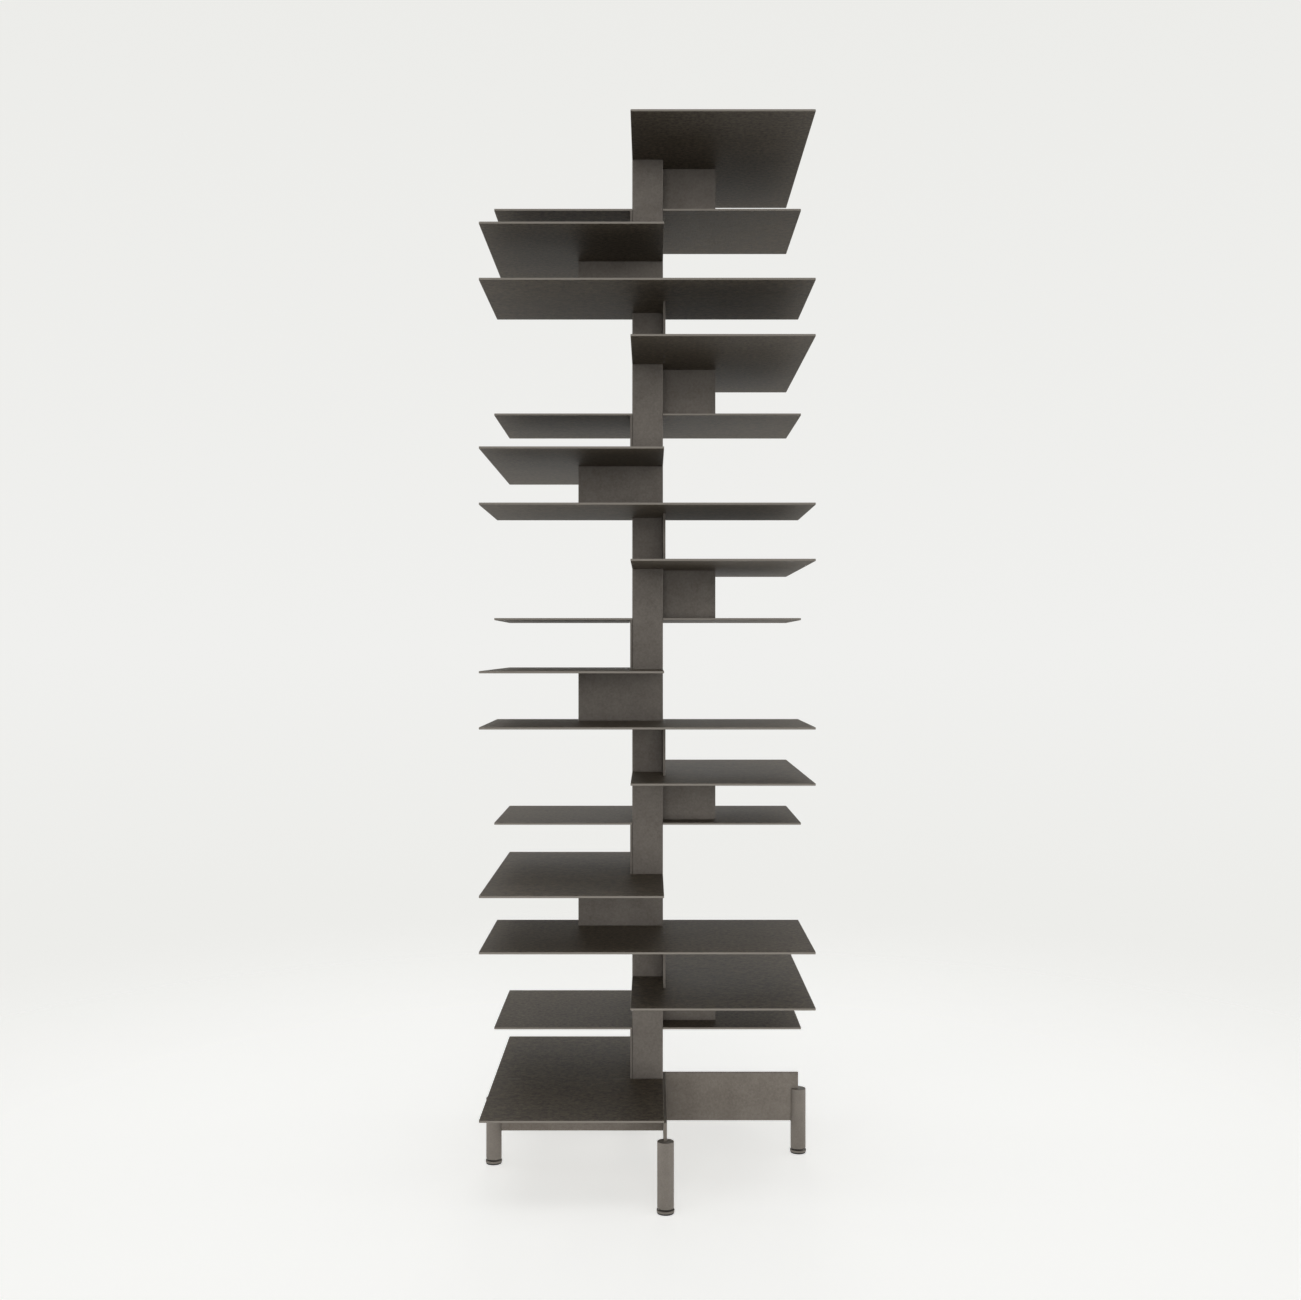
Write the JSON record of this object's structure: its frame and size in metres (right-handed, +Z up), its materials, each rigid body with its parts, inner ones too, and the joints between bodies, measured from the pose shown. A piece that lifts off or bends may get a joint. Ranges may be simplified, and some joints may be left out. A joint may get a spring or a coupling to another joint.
{
  "type": "tower bookcase",
  "caption": "Tower bookcase of equal steel shelves that wind round a square column by quarter turns, on a pinwheel base with round legs and levelling feet.",
  "frame": {"origin": "on the floor, under the column's axis", "axes": "+Z up, +Y to the back, +X to the right as seen from the front"},
  "size_m": [0.632, 0.632, 1.964],
  "materials": {
    "powder_coated_steel": "matt fine-textured powder coat, dark bronze grey",
    "powder_coated_bar": "satin powder coat, dark bronze grey",
    "powder_coated_disc": "satin powder coat, dark bronze grey",
    "zinc_plated_steel": "zinc plated, rolled thread",
    "glide_pad_plastic": "moulded nylon, matt black",
    "plug_plastic": "moulded polyethylene, matt black"
  },
  "bodies": {
    "bookcase": {"beam_back": "powder_coated_steel", "beam_front": "powder_coated_steel", "beam_left": "powder_coated_steel", "beam_right": "powder_coated_steel", "bracket_02_back": "powder_coated_steel", "bracket_03_right": "powder_coated_steel", "bracket_04_front": "powder_coated_steel", "bracket_05_left": "powder_coated_steel", "bracket_06_back": "powder_coated_steel", "bracket_07_right": "powder_coated_steel", "bracket_08_front": "powder_coated_steel", "bracket_09_left": "powder_coated_steel", "bracket_10_back": "powder_coated_steel", "bracket_11_right": "powder_coated_steel", "bracket_12_front": "powder_coated_steel", "bracket_13_left": "powder_coated_steel", "bracket_14_back": "powder_coated_steel", "bracket_15_right": "powder_coated_steel", "bracket_16_front": "powder_coated_steel", "bracket_17_left": "powder_coated_steel", "bracket_18_back": "powder_coated_steel", "bracket_19_right": "powder_coated_steel", "column_end_plug": "plug_plastic", "column_tube": "powder_coated_steel", "leg_back": "powder_coated_bar", "leg_front": "powder_coated_bar", "leg_left": "powder_coated_bar", "leg_right": "powder_coated_bar", "shelf_01_left": "powder_coated_steel", "shelf_02_back": "powder_coated_steel", "shelf_03_right": "powder_coated_steel", "shelf_04_front": "powder_coated_steel", "shelf_05_left": "powder_coated_steel", "shelf_06_back": "powder_coated_steel", "shelf_07_right": "powder_coated_steel", "shelf_08_front": "powder_coated_steel", "shelf_09_left": "powder_coated_steel", "shelf_10_back": "powder_coated_steel", "shelf_11_right": "powder_coated_steel", "shelf_12_front": "powder_coated_steel", "shelf_13_left": "powder_coated_steel", "shelf_14_back": "powder_coated_steel", "shelf_15_right": "powder_coated_steel", "shelf_16_front": "powder_coated_steel", "shelf_17_left": "powder_coated_steel", "shelf_18_back": "powder_coated_steel", "shelf_19_right": "powder_coated_steel"},
    "pad_left": {"glide_pad_left": "glide_pad_plastic"},
    "screw_left": {"foot_disc_left": "powder_coated_disc", "foot_stud_left": "zinc_plated_steel"},
    "pad_back": {"glide_pad_back": "glide_pad_plastic"},
    "screw_back": {"foot_disc_back": "powder_coated_disc", "foot_stud_back": "zinc_plated_steel"},
    "pad_right": {"glide_pad_right": "glide_pad_plastic"},
    "screw_right": {"foot_disc_right": "powder_coated_disc", "foot_stud_right": "zinc_plated_steel"},
    "pad_front": {"glide_pad_front": "glide_pad_plastic"},
    "screw_front": {"foot_disc_front": "powder_coated_disc", "foot_stud_front": "zinc_plated_steel"}
  },
  "joints": [
    {"name": "foot_left_travel", "type": "slide", "parent": "bookcase", "child": "pad_left", "axis": [0, 0, 1], "range_m": [-0.015, 0.00278]},
    {"name": "foot_left_turn", "type": "hinge", "parent": "pad_left", "child": "screw_left", "pos_m": [-0.3, -0.0325, 0.02], "axis": [0, 0, 1], "range_deg": [-3600, 666]},
    {"name": "foot_back_travel", "type": "slide", "parent": "bookcase", "child": "pad_back", "axis": [0, 0, 1], "range_m": [-0.015, 0.00278]},
    {"name": "foot_back_turn", "type": "hinge", "parent": "pad_back", "child": "screw_back", "pos_m": [-0.0325, 0.3, 0.02], "axis": [0, 0, 1], "range_deg": [-3600, 666]},
    {"name": "foot_right_travel", "type": "slide", "parent": "bookcase", "child": "pad_right", "axis": [0, 0, 1], "range_m": [-0.015, 0.00278]},
    {"name": "foot_right_turn", "type": "hinge", "parent": "pad_right", "child": "screw_right", "pos_m": [0.3, 0.0325, 0.02], "axis": [0, 0, 1], "range_deg": [-3600, 666]},
    {"name": "foot_front_travel", "type": "slide", "parent": "bookcase", "child": "pad_front", "axis": [0, 0, 1], "range_m": [-0.015, 0.00278]},
    {"name": "foot_front_turn", "type": "hinge", "parent": "pad_front", "child": "screw_front", "pos_m": [0.0325, -0.3, 0.02], "axis": [0, 0, 1], "range_deg": [-3600, 666]}
  ],
  "couplings": [
    {"joint": "foot_left_turn", "follows": "foot_left_travel", "rad_per_m": 4188.8},
    {"joint": "foot_back_turn", "follows": "foot_back_travel", "rad_per_m": 4188.8},
    {"joint": "foot_right_turn", "follows": "foot_right_travel", "rad_per_m": 4188.8},
    {"joint": "foot_front_turn", "follows": "foot_front_travel", "rad_per_m": 4188.8}
  ]
}
